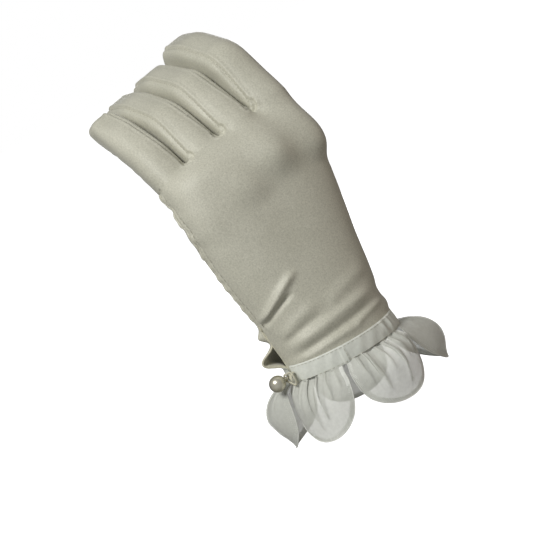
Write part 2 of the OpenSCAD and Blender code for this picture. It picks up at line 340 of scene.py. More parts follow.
def vertex_normals(p, tri):
    face = np.cross(p[tri[:, 1]] - p[tri[:, 0]], p[tri[:, 2]] - p[tri[:, 0]])
    out = np.zeros_like(p)
    for i in range(3):
        np.add.at(out, tri[:, i], face)
    return out / np.maximum(np.linalg.norm(out, axis=1), 1e-12)[:, None]


def relaxed(p, tri, amount, reach):
    """Evens the surface out over about reach mm, by an amount from 0 to 1 at each point."""
    edges = np.unique(np.sort(np.vstack([tri[:, [0, 1]], tri[:, [1, 2]], tri[:, [2, 0]]]), axis=1), axis=0)
    edges = edges[(amount[edges] > 0).any(axis=1)]
    ends = np.concatenate([edges[:, 0], edges[:, 1]])
    other = np.concatenate([edges[:, 1], edges[:, 0]])
    count = np.maximum(np.bincount(ends, minlength=len(p)), 1)
    out = p.copy()
    for _ in range(int(round(1.5 * (reach / VOXEL) ** 2))):
        mean = np.stack([np.bincount(ends, out[other, i], len(p)) for i in range(3)], 1) / count[:, None]
        out += 0.7 * amount[:, None] * (mean - out) * (amount > 0)[:, None]
    return out


# ---------------------------------------------------------------- surface coordinates
def side_height(p):
    """Depth of the line down each side of the hand where back meets palm."""
    cy = np.interp(p[:, 2], HAND_ROWS[:, 0], HAND_ROWS[:, 2])
    work = p @ TO_WORK.T
    q = web_height(work[:, 1], work[:, 2])
    root = np.where(p[:, 0] > 0, joint_point("index_flex")[1], joint_point("little_flex")[1])
    return cy + (root - cy) * ease((q + 26) / 26)


def coordinates(p):
    """Named fields over the skin, used to cut it and to place its seams and folds."""
    work = p @ TO_WORK.T
    c = {"q": web_height(work[:, 1], work[:, 2])}
    where_t, dist_t = thumb_locate(p)
    thumb = dist_t - thumb_r[where_t]
    hand = hand_field(p[:, 0], p[:, 1], p[:, 2])
    near = np.stack([f.field(work[:, 0], work[:, 1], work[:, 2]) for f in fingers])
    is_thumb = (thumb < hand) & (thumb < near.min(axis=0)) & (p[:, 2] < 118) & (p[:, 1] > 8)
    c["is_thumb"] = is_thumb
    # where a cut doesn't apply, its field keeps the cloth on the hand's side of it
    elsewhere = -3.0
    c["web"] = np.where(is_thumb, elsewhere, c["q"])
    along = ((p - thumb_line[thumb_split]) @ thumb_dir[thumb_split])
    c["thumb_cut"] = np.where(is_thumb, along, elsewhere)
    by_thumb = is_thumb | ((thumb < 4) & (c["q"] < -15))
    c["gusset"] = np.where(by_thumb, np.minimum(hand - 2.2, 3), elsewhere)
    c["side"] = p[:, 1] - side_height(p)
    depth_dir = np.cross(thumb_dir[where_t], [1.0, 0, 0])
    c["thumb_depth"] = ((p - thumb_line[where_t]) * depth_dir).sum(axis=1)
    for f in fingers:
        where, _, depth = f.locate(work[:, 1], work[:, 2])
        c[f.name + "_s"] = f.s[where]
        c[f.name + "_depth"] = depth
        u = work[:, 0] - f.w
        seam = f.width[where] * (0.84 - 0.20 * ease((f.s[where] - 14) / 34))
        c[f.name + "_u"] = u
        c[f.name + "_plus"] = u - seam
        c[f.name + "_minus"] = -u - seam
    c["bin"] = np.digitize(-work[:, 0], [-s for s in slit_w])
    return c


# ---------------------------------------------------------------- folds, puckers and seam grooves
def relief(p, c):
    """How far the cloth stands off the smooth skin."""
    out = 0.10 * Waves(3, 26)(p) + 0.05 * Waves(4, 11)(p)
    x, z = p[:, 0], p[:, 2]
    # folds that run from the wrist slit across to the index side
    wave = np.zeros(len(p))
    for x0, z0, x1, z1, width, height in WRIST_FOLDS:
        run = np.array([x1 - x0, z1 - z0], float)
        length = np.linalg.norm(run)
        run /= length
        along = (x - x0) * run[0] + (z - z0) * run[1]
        share = along / length
        off = -(x - x0) * run[1] + (z - z0) * run[0] - FOLD_BOW * np.sin(np.pi * np.clip(share, 0, 1))
        wave += height * bump(off, width) * ease(share / 0.2) * ease((1 - share) / 0.3)
    out += wave * ease((-p[:, 1] + 3) / 6)
    # palm side of the wrist: rings of soft creases
    ring = 0.55 * np.sin(z / 2.3 + 0.06 * x + 1.3 * np.sin(x / 17)) * bump(z - 17, 9)
    out += ring * ease((p[:, 1] - 2) / 8)
    # index side bulge above the wrist
    bulge = 1.5 * bump(z - 10.5, 3.8) - 0.5 * bump(z - 19.0, 3.0)
    out += bulge * ease((x - 18) / 8) * bump(p[:, 1] + 2, 13)
    # puckers beside the little-finger seam
    near_seam = bump(c["side"], 4.5) * ease((-x - 18) / 8) * ease((z - 30) / 6) * (c["q"] < 0)
    out += near_seam * 0.40 * np.sin(2 * np.pi * z / 8.5 + 1.5 * np.sin(z / 9)) * ease((z - 55) / 20)
    for f in fingers:
        mine = (c["bin"] == NAMES.index(f.name)) & (c["q"] > 0.0) & ~c["is_thumb"]
        s = c[f.name + "_s"]
        root = ease(c["q"] / 3)
        for edge in FOURCHETTES[f.name]:
            off = c[f.name + edge]
            groove = 0.42 * bump(off + 1.4, 0.75) + 0.12 * bump(off - 1.4, 0.9) - 0.75 * bump(off, 0.62)
            out += mine * root * groove
        # the seams end in small corners at the fingertip
        for side in (-1, 1):
            corner = f.tip_corner(side)
            out += 1.7 * bump(np.linalg.norm(p @ TO_WORK.T - corner, axis=1), 2.6)
        # cloth crumples on the inside of each bend
        for stop in np.cumsum(FINGERS[f.name][1])[:2]:
            inner = ease(c[f.name + "_depth"] / 7)
            out += mine * inner * 0.3 * np.sin((s - stop) / 1.25) * bump(s - stop, 6)
    # the seam of each fourchette pair runs round the root of its slit, with small puckers beside it
    work = p @ TO_WORK.T
    for w in slit_w:
        aside = work[:, 0] - w
        ring = np.hypot(aside, np.minimum(c["q"], 0) * 0.8)
        root = ease((2.5 - c["q"]) / 2.5) * ~c["is_thumb"]
        turn = np.arctan2(aside, -c["q"] + 0.01)
        out -= root * 0.95 * bump(ring - 2.5, 0.75)
        out += root * (0.45 + 0.18 * np.sin(7 * turn)) * (bump(ring - 3.8, 0.9) + bump(ring - 1.3, 0.7))
    # topstitching beside the side seam sinks in, and the welt between them stands up
    line = -c["side"] - SEAM_STITCH
    edge = ease((-x - 18) / 6) * ease((z - SLIT_TOP + 3) / 4) * (c["q"] < 0)
    out -= edge * 0.55 * bump(line, 0.8)
    out += edge * 0.30 * bump(line - 1.5, 0.9)
    out += edge * 0.40 * bump(line + 1.5, 1.0) * (1 + 0.5 * np.sin(z / 1.1 + np.sin(z / 4)))
    return out


# ---------------------------------------------------------------- cutting
SNAP = 0.09                # a point this near to a cut is on it
ON_LINE = 0.11             # a point this near to a seam is on it


class Sheet:
    """Triangles with a table of values at each point: place, normal and every cutting field."""

    def __init__(self, table, tri, names):
        self.table, self.tri, self.names = table, tri, names

    def get(self, name):
        return self.table[:, self.names.index(name)]

    def cut(self, values):
        """Splits along values == 0. Returns (where values < 0, where values > 0)."""
        v = np.where(abs(values) < SNAP, 0, values)
        sign = np.sign(v[self.tri])
        low, high = (sign <= 0).all(axis=1), (sign >= 0).all(axis=1) & ~(sign <= 0).all(axis=1)
        mixed = ~low & ~high
        extra, made, added = [], {}, {-1: [], 1: []}

        def middle(i, j):
            key = (min(i, j), max(i, j))
            if key not in made:
                t = v[key[0]] / (v[key[0]] - v[key[1]])
                extra.append(self.table[key[0]] * (1 - t) + self.table[key[1]] * t)
                made[key] = len(self.table) + len(extra) - 1
            return made[key]

        for tri in self.tri[mixed]:
            s = np.sign(v[tri])
            if (s == 0).any():
                k = int(np.where(s == 0)[0][0])
                z, b, c = np.roll(tri, -k)
                m = middle(b, c)
                side = int(np.sign(v[b]))
                added[side].append((z, b, m))
                added[-side].append((z, m, c))
                continue
            k = [i for i in range(3) if (s == s[i]).sum() == 1][0]
            z, b, c = np.roll(tri, -k)
            m, n = middle(z, b), middle(z, c)
            side = int(np.sign(v[z]))
            added[side].append((z, m, n))
            added[-side] += [(m, b, c), (m, c, n)]
        table = np.vstack([self.table, extra]) if extra else self.table
        parts = []
        for keep, side in ((low, -1), (high, 1)):
            more = np.array(added[side], int).reshape(-1, 3)
            parts.append(Sheet(table, np.vstack([self.tri[keep], more]), self.names))
        return parts

    def tidy(self):
        used, tri = np.unique(self.tri, return_inverse=True)
        return Sheet(self.table[used], tri.reshape(-1, 3), self.names)

    def largest(self):
        """Drops crumbs left by a cut: keeps islands with at least 3% of the triangles."""
        s = self.tidy()
        label = np.arange(len(s.table))
        while True:
            m = label[s.tri].min(axis=1)
            new = label.copy()
            for i in range(3):
                np.minimum.at(new, s.tri[:, i], m)
            new = new[new]
            if (new == label).all():
                break
            label = new
        island = label[s.tri[:, 0]]
        ids, count = np.unique(island, return_counts=True)
        keep = np.isin(island, ids[count >= 0.03 * len(s.tri)])
        return Sheet(s.table, s.tri[keep], s.names).tidy()


# ---------------------------------------------------------------- Blender objects
def make_object(name, verts, faces, loop_normals=None):
    mesh = bpy.data.meshes.new(name)
    mesh.from_pydata(np.asarray(verts, float) * MM, [], [list(map(int, f)) for f in faces])
    mesh.polygons.foreach_set("use_smooth", [True] * len(mesh.polygons))
    mesh.update()
    if loop_normals is not None:
        mesh.normals_split_custom_set(loop_normals)
    obj = bpy.data.objects.new(name, mesh)
    bpy.context.collection.objects.link(obj)
    return obj


def cloth_piece(name, sheet, thickness=CLOTH):
    """A panel with its own thickness: outer face, inner face and the cut edge between them."""
    s = sheet.largest()
    p, n = s.table[:, :3], s.table[:, 3:6]
    n = n / np.linalg.norm(n, axis=1)[:, None]
    count = len(p)
    tri = s.tri
    border = border_edges(tri, count)
    rim = np.column_stack([border[:, 1], border[:, 0], border[:, 0] + count, border[:, 1] + count])
    verts = np.vstack([p, p - n * thickness])
    rim_normal = np.cross(verts[rim[:, 1]] - verts[rim[:, 0]], verts[rim[:, 2]] - verts[rim[:, 1]])
    rim_normal /= np.maximum(np.linalg.norm(rim_normal, axis=1), 1e-9)[:, None]
    faces = [*tri.tolist(), *(tri[:, ::-1] + count).tolist(), *rim.tolist()]
    loops = np.vstack([n[tri.ravel()], -n[tri[:, ::-1].ravel()], np.repeat(rim_normal, 4, axis=0)])
    return make_object(name, verts, faces, loops)


def grid_faces(rows, cols, closed=False, caps=False, first=0):
    """Faces over a grid of points that are numbered row by row from first."""
    last = cols if closed else cols - 1
    corners = [(i * cols + j, i * cols + (j + 1) % cols) for i in range(rows - 1) for j in range(last)]
    faces = [(first + a, first + b, first + b + cols, first + a + cols) for a, b in corners]
    if caps:
        end = first + (rows - 1) * cols
        faces += [range(first, first + cols)[::-1], range(end, end + cols)]
    return faces


def grid_piece(name, rows, closed=False, caps=False):
    """A piece over a grid of points, rows by columns."""
    rows = np.asarray(rows, float)
    return make_object(name, rows.reshape(-1, 3), grid_faces(*rows.shape[:2], closed, caps))


def frames_along(path):
    """A steady pair of side directions at each point of a path."""
    d = np.gradient(path, axis=0)
    d /= np.linalg.norm(d, axis=1)[:, None]
    side = np.cross(d[0], [0.3, 0.5, 0.8])
    side /= np.linalg.norm(side)
    out = []
    for t in d:
        side = side - (side @ t) * t
        side /= np.linalg.norm(side)
        out.append((side.copy(), np.cross(t, side)))
    return out


def tubes(name, paths, radius, sides=8):
    """Round cords along paths, as one piece. radius is a number, or one number for each point of a path."""
    verts, faces = [], []
    turn = np.linspace(0, 2 * np.pi, sides, endpoint=False)
    for path in paths:
        path = np.asarray(path, float)
        faces += grid_faces(len(path), sides, closed=True, caps=True, first=len(verts))
        for point, r, (a, b) in zip(path, np.broadcast_to(radius, len(path)), frames_along(path)):
            verts += [point + r * (math.cos(t) * a + math.sin(t) * b) for t in turn]
    return make_object(name, verts, faces)


def evenly(path, step, *others):
    """The path resampled at an even step, with any other rows of values that go with its points."""
    length = np.concatenate([[0], np.cumsum(np.linalg.norm(np.diff(path, axis=0), axis=1))])
    s = np.linspace(0, length[-1], max(3, int(round(length[-1] / step)) + 1))
    return [np.stack([np.interp(s, length, v[:, i]) for i in range(v.shape[1])], 1) for v in (path, *others)]


def smoothed(path, times=2):
    out = np.array(path, float)
    for _ in range(times):
        out[1:-1] = (out[:-2] + 2 * out[1:-1] + out[2:]) / 4
    return out


def stitches(name, lines, length=1.5, gap=0.9, radius=0.13, lift=0.12):
    """Running stitches along lines of (points, normals): each rises from the cloth and dips back into it."""
    paths = []
    step = 0.1
    for points, normals in lines:
        points, normals = evenly(points, step, normals)
        run = int(round(length / step))
        for i in range(0, len(points) - run, run + int(round(gap / step))):
            pick = np.linspace(i, i + run, 5).astype(int)
            arch = (np.array([-1.2, 0.7, 1, 0.7, -1.2]) * lift)[:, None]
            paths.append(points[pick] + normals[pick] * arch)
    return tubes(name, paths, radius, sides=5)


def border_edges(tri, count):
    """Directed edges that only one triangle has."""
    edges = np.vstack([tri[:, [0, 1]], tri[:, [1, 2]], tri[:, [2, 0]]])
    key = np.sort(edges, axis=1) @ np.array([count, 1])
    _, index, times = np.unique(key, return_index=True, return_counts=True)
    return edges[index[times == 1]]


def edge_line(sheet, keep, step=0.8):
    """The longest run of a piece's border inside keep: evenly spaced points and normals."""
    edges = border_edges(sheet.tri, len(sheet.table))
    edges = edges[keep[edges].all(axis=1)]
    follow = dict(edges.tolist())
    best = []
    for start in set(follow) - set(follow.values()):
        chain = [start]
        while chain[-1] in follow and len(chain) <= len(follow):
            chain.append(follow[chain[-1]])
        if len(chain) > len(best):
            best = chain
    points, normals = evenly(sheet.table[best, :3], step, sheet.table[best, 3:6])
    return smoothed(points), normals / np.linalg.norm(normals, axis=1)[:, None]


# ---------------------------------------------------------------- materials
def node_material(name, **settings):
    mat = bpy.data.materials.new(name)
    mat.use_nodes = True
    shader = mat.node_tree.nodes["Principled BSDF"]
    for socket, value in settings.items():
        shader.inputs[socket.replace("_", " ")].default_value = value
    return mat, mat.node_tree, shader


def add(tree, kind, *sources, **values):
    """Adds a node. sources are linked to its inputs in order; values go to inputs or settings by name."""
    node = tree.nodes.new(kind)
    for socket, source in zip(node.inputs, sources):
        tree.links.new(source, socket)
    for key, value in values.items():
        if key not in node.inputs:
            setattr(node, key, value)
        elif isinstance(value, bpy.types.NodeSocket):
            tree.links.new(value, node.inputs[key])
        else:
            node.inputs[key].default_value = value
    return node


def object_coords(tree):
    return add(tree, "ShaderNodeTexCoord").outputs["Object"]


def two_tone(tree, coords, dark, light, scale, detail=3.0, low=0.35, high=0.65):
    noise = add(tree, "ShaderNodeTexNoise", Vector=coords, Scale=scale, Detail=detail)
    ramp = add(tree, "ShaderNodeValToRGB", Fac=noise.outputs["Fac"])
    for stop, place, colour in zip(ramp.color_ramp.elements, (low, high), (dark, light)):
        stop.position = place
        stop.color = (*colour, 1)
    return ramp.outputs["Color"]


def combined(tree, operation, first, second):
    return add(tree, "ShaderNodeMath", first, second, operation=operation).outputs[0]


def woven(tree, coords, axes, operation, **settings):
    """The height of fine threads along each axis, brought together by one operation."""
    total = None
    for axis in axes:
        wave = add(tree, "ShaderNodeTexWave", Vector=coords, bands_direction=axis, **settings)
        height = wave.outputs["Fac"]
        total = height if total is None else combined(tree, operation, total, height)
    return total


def finish_surface(tree, shader, colour, height=None, strength=0.0, distance=0.0):
    """Links a colour and, where there is one, a height in metres to the shader."""
    tree.links.new(colour, shader.inputs["Base Color"])
    if height:
        embossed = add(tree, "ShaderNodeBump", Height=height, Strength=strength, Distance=distance)
        tree.links.new(embossed.outputs["Normal"], shader.inputs["Normal"])


def satin_material():
    mat, tree, shader = node_material("satin", Roughness=0.46, Specular_IOR_Level=0.42, Sheen_Weight=0.35,
                                      Sheen_Roughness=0.35, Anisotropic=0.25)
    coords = object_coords(tree)
    speckle = two_tone(tree, coords, (0.500, 0.490, 0.410), (0.690, 0.675, 0.575), 1500, 2.0, 0.25, 0.75)
    cloud = two_tone(tree, coords, (0.94, 0.94, 0.93), (1, 1, 1), 45)
    tone = add(tree, "ShaderNodeMixRGB", blend_type="MULTIPLY", Fac=1, Color1=speckle, Color2=cloud)
    floats = woven(tree, coords, "XZ", "MULTIPLY", Scale=900.0, Distortion=1.5, Detail=1.0)
    grain = add(tree, "ShaderNodeTexNoise", Vector=coords, Scale=1100.0, Detail=2.0)
    height = combined(tree, "ADD", floats, grain.outputs["Fac"])
    finish_surface(tree, shader, tone.outputs["Color"], height, 0.22, 0.00022)
    return mat


def organza_material(name, colour, alpha):
    mat, tree, shader = node_material(name, Roughness=0.5, Alpha=alpha, Sheen_Weight=0.25,
                                      Specular_IOR_Level=0.35)
    coords = object_coords(tree)
    tone = two_tone(tree, coords, tuple(0.93 * v for v in colour), colour, 700, 2.0)
    height = woven(tree, coords, "XYZ", "ADD", Scale=700.0, Distortion=0.8, Detail=1.0)
    finish_surface(tree, shader, tone, height, 0.25, 0.00015)
    mat.blend_method = "HASHED"
    return mat


def thread_material(name, colour):
    mat, tree, shader = node_material(name, Roughness=0.55, Sheen_Weight=0.3)
    coords = object_coords(tree)
    tone = two_tone(tree, coords, tuple(0.82 * v for v in colour), colour, 1600)
    height = woven(tree, coords, ["DIAGONAL"], "ADD", Scale=1400.0, Distortion=2.0)
    finish_surface(tree, shader, tone, height, 0.4, 0.0002)
    return mat


def pearl_material():
    mat, tree, shader = node_material("pearl", Roughness=0.27, Metallic=0.65, Coat_Weight=1.0,
                                      Coat_Roughness=0.06, Specular_IOR_Level=0.6)
    tone = two_tone(tree, object_coords(tree), (0.78, 0.74, 0.58), (0.92, 0.89, 0.77), 260)
    # painted shade: the pearl's colour turns dark olive towards its rim, where the surface turns from the
    # camera
    facing = add(tree, "ShaderNodeLayerWeight", Blend=0.45).outputs["Facing"]
    tone = add(tree, "ShaderNodeMixRGB", Fac=facing, Color1=tone, Color2=(0.20, 0.185, 0.10, 1))
    finish_surface(tree, shader, tone.outputs["Color"])
    return mat


SATIN = satin_material()
BAND = organza_material("band_organza", (0.89, 0.91, 0.84), 0.90)
PETAL = organza_material("petal_organza", (0.80, 0.81, 0.75), 0.62)
HEM = organza_material("petal_hem", (0.95, 0.96, 0.91), 0.80)
CREAM = thread_material("cream_binding", (0.74, 0.71, 0.56))
# stitching thread, darker than the satin; part of that dark is painted shade of the seam grooves, which the
# mesh is too coarse to show
THREAD_AND_GROOVE_SHADE = thread_material("thread", (0.40, 0.385, 0.30))
FINE_THREAD = thread_material("fine_thread", (0.60, 0.59, 0.49))
PEARL = pearl_material()


def finish_piece(obj, material, body, slot, *nodes):
    obj.data.materials.append(material)
    if body:
        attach(obj, body)
    if nodes:
        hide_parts(*nodes)
    return obj


# ---------------------------------------------------------------- camera
AZIMUTH, ELEVATION, ROLL = math.radians(-20), math.radians(9), math.radians(26.6)
DISTANCE, LENS, SENSOR = 0.900, 132.1, 36.0
back_dir = Vector((math.sin(AZIMUTH) * math.cos(ELEVATION), -math.cos(AZIMUTH) * math.cos(ELEVATION),
                   math.sin(ELEVATION)))
right_dir = Vector((math.cos(AZIMUTH), math.sin(AZIMUTH), 0))
up_dir = back_dir.cross(right_dir)
AIM = right_dir * -0.01340 + up_dir * 0.04970
cam_right = right_dir * math.cos(ROLL) - up_dir * math.sin(ROLL)
cam_up = right_dir * math.sin(ROLL) + up_dir * math.cos(ROLL)
camera = bpy.data.objects.new("camera", bpy.data.cameras.new("camera"))
camera.data.lens = LENS
camera.data.sensor_width = SENSOR
camera.matrix_world = (Matrix.Translation(AIM + back_dir * DISTANCE)
                       @ Matrix((cam_right, cam_up, back_dir)).transposed().to_4x4())
bpy.context.collection.objects.link(camera)
bpy.context.scene.camera = camera


# ---------------------------------------------------------------- satin shell
def build_shell():
    p, tri = skin_mesh()
    n = vertex_normals(p, tri)
    c = coordinates(p)
    knuckles = ease((-c["q"] - 3) / 7) * ease((c["q"] + 42) / 12) * ease((4 - c["side"]) / 8)
    p = relaxed(p, tri, knuckles, KNUCKLE_REACH)
    n = vertex_normals(p, tri)
    p = p + n * relief(p, c)[:, None]
    n = vertex_normals(p, tri)
    table = np.column_stack([p, n, *c.values()])
    skin = Sheet(table, tri, ["x", "y", "z", "nx", "ny", "nz", *c])
    skin = skin.cut(skin.get("z"))[1]      # the shell ends at the wrist opening
    hand, digits = skin.cut(skin.get("web"))
    pieces = {}
    hand, thumb = hand.cut(hand.get("thumb_cut"))
    pieces["thumb_back"], pieces["thumb_front"] = thumb.cut(thumb.get("thumb_depth"))
    hand, pieces["thumb_gusset"] = hand.cut(hand.get("gusset"))
    pieces["back_panel"], pieces["palm_panel"] = hand.cut(hand.get("side"))
    for i, f in enumerate(fingers):
        own = np.round(digits.get("bin")[digits.tri].mean(axis=1)).astype(int) == i
        part = Sheet(digits.table, digits.tri[own], digits.names)
        for edge, node in FOURCHETTES[f.name].items():
            part, pieces[f.name + node] = part.cut(part.get(f.name + edge))
        pieces[f.name + "_back_strip"], pieces[f.name + "_palm_strip"] = part.cut(part.get(f.name + "_depth"))
    return pieces


def body_of_piece(name):
    first = name.split("_")[0]
    return first if first in NAMES else "thumb" if name in ("thumb_back", "thumb_front") else "hand"


def follow(obj, body):
    """Rides on the hand; a piece of a finger or the thumb only has its transform baked in and is attached to
    no body.
    """
    if body == "hand":
        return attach(obj, "hand")
    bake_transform(obj)


# ---------------------------------------------------------------- the wrist slit
def flap(p, depth):
    """Curls the palm-side edge of the slit outwards. depth is how far a point is behind that edge."""
    z = p[:, 2]
    stand = 9.3 * np.exp(-abs((z - 12.0) / 4.2) ** 2.6)
    stand = stand * ease(z / 6) * ease((SLIT_TOP + 0.5 - z) / 3)
    near = ease(1 - depth / 13) * (p[:, 0] < SLIT_X)
    curl = ease(1 - depth / 4)
    puff = 3.6 * bump(z - 22.8, 2.8) * bump(depth - 3.2, 3.0) * (p[:, 0] < SLIT_X)
    return p + np.stack([-stand * near - puff, stand * near * (0.10 + 0.10 * curl), 0 * z], 1)


def back_edge(p, depth):
    """The back-side edge lies close, and lifts a little between the button and the bar tack."""
    z = p[:, 2]
    stand = 0.7 * np.sin(np.pi * np.clip((z - 8) / 19, 0, 1)) * ease(1 - depth / 6) * (p[:, 0] < SLIT_X)
    return p + np.stack([-stand, -0.3 * stand, 0 * z], 1)


def reshaped(sheet, move):
    """A panel with its points moved; normals are worked out again where they moved."""
    s = sheet.tidy()
    table = s.table.copy()
    moved = move(s)
    far = np.linalg.norm(moved - table[:, :3], axis=1) > 0.02
    table[:, :3] = moved
    table[far, 3:6] = vertex_normals(moved, s.tri)[far]
    return Sheet(table, s.tri, s.names)


shell = build_shell()
shell["palm_panel"] = reshaped(shell["palm_panel"], lambda s: flap(s.table[:, :3], s.get("side")))
shell["back_panel"] = reshaped(shell["back_panel"], lambda s: back_edge(s.table[:, :3], -s.get("side")))
for name, sheet in shell.items():
    obj = cloth_piece(name + "_cloth", sheet)
    finish_piece(obj, SATIN, None, "satin", name)
    follow(obj, body_of_piece(name))


def little_side(sheet, low, high, at=0.0):
    """Points of a panel on the little-finger side line (or a line at mm from it), from low to high."""
    x, z = sheet.get("x"), sheet.get("z")
    return (abs(sheet.get("side") - at) < ON_LINE) & (x < SLIT_X) & (z > low) & (z < high)


palm, back = (shell[name].largest() for name in ("palm_panel", "back_panel"))
palm_edge = edge_line(palm, little_side(palm, -1, SLIT_TOP))
hand_edge = edge_line(back, little_side(back, -1, SLIT_TOP))
bindings = {"slit_binding_palm": (palm_edge, 0.52), "slit_binding_back": (hand_edge, 0.40)}
for name, ((points, normals), radius) in bindings.items():
    beads = 1 + 0.10 * np.sin(np.arange(len(points)) * 1.9)
    cord = tubes(name, [points - normals * 0.25], radius * beads, sides=10)
    finish_piece(cord, CREAM, "hand", "binding")


def facing(name, panel, low, high):
    """A strip inside the cloth along the slit, where side is from low to high."""
    strip = panel.cut(panel.get("side") - low)[1]
    for field, end in (("side", high), ("x", SLIT_X), ("z", SLIT_TOP - 1)):
        strip = strip.cut(strip.get(field) - end)[0].tidy()
    table = strip.table.copy()
    table[:, :3] -= table[:, 3:6] * (CLOTH + 0.12)
    obj = cloth_piece(name + "_cloth", Sheet(table, strip.tri, strip.names), 0.3)
    finish_piece(obj, CREAM, "hand", "binding", name)


facing("slit_facing_palm", palm, 0.35, 5.5)
facing("slit_facing_back", back, -5.5, -0.35)

# bar tack: a few tight threads across the top of the slit
tack_z = np.arange(SLIT_TOP - 1.4, SLIT_TOP + 1.6, 0.42)
tack_at = hand_edge[0][np.argmax(hand_edge[0][:, 2])]
tack = [[(tack_at[0] + 0.25 * abs(y) - 0.55, tack_at[1] + y, z + 0.15 * y) for y in np.linspace(-1.3, 1.3, 7)]
        for z in tack_z]
finish_piece(tubes("bar_tack_threads", tack, 0.24, sides=6), CREAM, "hand", "binding", "bar_tack")

# side seam: a puckered welt from the bar tack to the little finger, with a line of topstitching beside it
SEAM_STEP = 0.6
side_seam = little_side(back, SLIT_TOP + 1.5, 200) & (back.get("q") < -0.5)
seam_points, seam_normals = edge_line(back, side_seam, SEAM_STEP)
run = np.arange(len(seam_points)) * SEAM_STEP
pucker = 0.18 * np.sin(run / 0.95) + 0.14 * np.sin(run / 2.7 + 1)
welt = seam_points + seam_normals * (0.12 + 0.45 * pucker)[:, None]
welt_piece = tubes("side_seam_welt", [welt], 0.62 + 0.8 * pucker, sides=10)
finish_piece(welt_piece, SATIN, "hand", "satin", "side_seam")
inner = back.cut(back.get("side") + SEAM_STITCH)[0].largest()
beside_seam = little_side(inner, SLIT_TOP - 2, 200, -SEAM_STITCH) & (inner.get("q") < -2)
topstitch = stitches("side_topstitch", [edge_line(inner, beside_seam)], 1.9, 0.8, 0.19, 0.10)
finish_piece(topstitch, THREAD_AND_GROOVE_SHADE, "hand", "thread")

# seam stitches of the finger strips
for f in fingers:
    lines = []
    for edge in FOURCHETTES[f.name]:
        for strip in ("_back_strip", "_palm_strip"):
            part = shell[f.name + strip].largest()
            keep = (abs(part.get(f.name + edge)) < ON_LINE) & (part.get("q") > 1)
            if keep.sum() > 20:
                lines.append(edge_line(part, keep))
    obj = stitches(f.name + "_seam_stitches", lines, 1.3, 0.8, 0.11, 0.04)
    finish_piece(obj, THREAD_AND_GROOVE_SHADE, None, "thread")
    follow(obj, f.name)


# ---------------------------------------------------------------- organza band
BAND_DROP = 1.5            # the loose cloth hangs a little lower than the wrist opening
BAND_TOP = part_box("cuff_band")[1][2] / MM
BAND_FROM, BAND_TO = 190.0, 546.0
BAND_OUT = 0.15            # inner face of the band, off the wrist
BAND_CLOTH = 0.42
BAND_LAP = (249, 256)      # where the band laps over its own end
# Angle, width and height of each fold across the band
BAND_FOLDS = [(302, 2.2, 0.6), (308.5, 1.7, -0.45), (313, 2.0, 0.75), (321, 2.4, 0.5), (334, 3.0, 0.4),
              (420, 3.0, 0.5), (470, 3.5, 0.45)]


def wrist(u, z, out):
    """Points at angle u (degrees; 270 is the back of the hand, 0 the index side), height z, out mm off."""
    u, z, out = np.broadcast_arrays(np.radians(np.asarray(u, float)), z, out)
    level = np.maximum(z, 0)
    cx, cy, half_w, half_d = (np.interp(level, HAND_ROWS[:, 0], HAND_ROWS[:, i]) for i in (1, 2, 3, 4))
    return np.stack([cx + (half_w + out) * np.cos(u), cy + (half_d + out) * np.sin(u), z], -1)


def band_swell(u, z):
    """How far the band's outer face stands out: ripples, its lapped join and its folds."""
    middle = np.sin(np.pi * np.clip(z / BAND_TOP, 0, 1))
    swell = 0.16 * np.sin(0.19 * u + 0.3 * z) + 0.10 * np.sin(0.43 * u - 0.5 * z + 1)
    swell = swell + 0.26 * middle
    swell = swell + 0.38 * ease((u - BAND_LAP[0]) / 0.9) * ease((BAND_LAP[1] - u) / 0.9)
    for centre, width, height in BAND_FOLDS:
        swell = swell + height * bump(u - centre + 0.35 * (z - 4), width) * (0.35 + 0.65 * middle)
    return swell


def on_band(u, z, off=0.0):
    u, z = np.broadcast_arrays(np.asarray(u, float), np.asarray(z, float))
    p = wrist(u, z - BAND_DROP, BAND_OUT + BAND_CLOTH + band_swell(u, z) + off)
    flat = p.reshape(-1, 3)
    palm_side = np.where(u.ravel() > 450, np.maximum(flat[:, 1], 0), 100)
    return flap(flat, palm_side).reshape(p.shape)


def band_piece():
    rows = []
    heights = np.linspace(-0.35, BAND_TOP, 12)
    for u in np.arange(BAND_FROM, BAND_TO + 0.01, 0.75):
        back_down = heights[::-1]
        inner_face = on_band(u, back_down, -BAND_CLOTH - band_swell(u, back_down))
        rows.append(np.vstack([on_band(u, heights), inner_face]))
    return grid_piece("cuff_band_organza", rows, closed=True, caps=True)


finish_piece(band_piece(), BAND, "hand", "band_organza", "cuff_band")

# two stitch lines round the band, and one across its lap
band_u = np.arange(BAND_FROM + 2, BAND_TO - 1, 1.0)
lap_z = np.linspace(0.8, BAND_TOP - 0.8, 12)
band_runs = [(band_u, 0.75), (band_u, BAND_TOP - 0.8), (BAND_LAP[1] - 1.6, lap_z)]
band_lines = [(on_band(u, z), on_band(u, z, 1.0) - on_band(u, z)) for u, z in band_runs]
finish_piece(stitches("band_stitches", band_lines, 1.5, 0.7, 0.12, 0.06), FINE_THREAD, "hand", "thread")


# ---------------------------------------------------------------- petals
PETAL_PITCH = 72.0         # degrees from one petal to the next
PETAL_L = 31.0
EDGE_FLARE = 4             # how far a petal's edges stand out from the wrist
HALF_W = 17.8              # half the width of a petal at its widest, across its curve


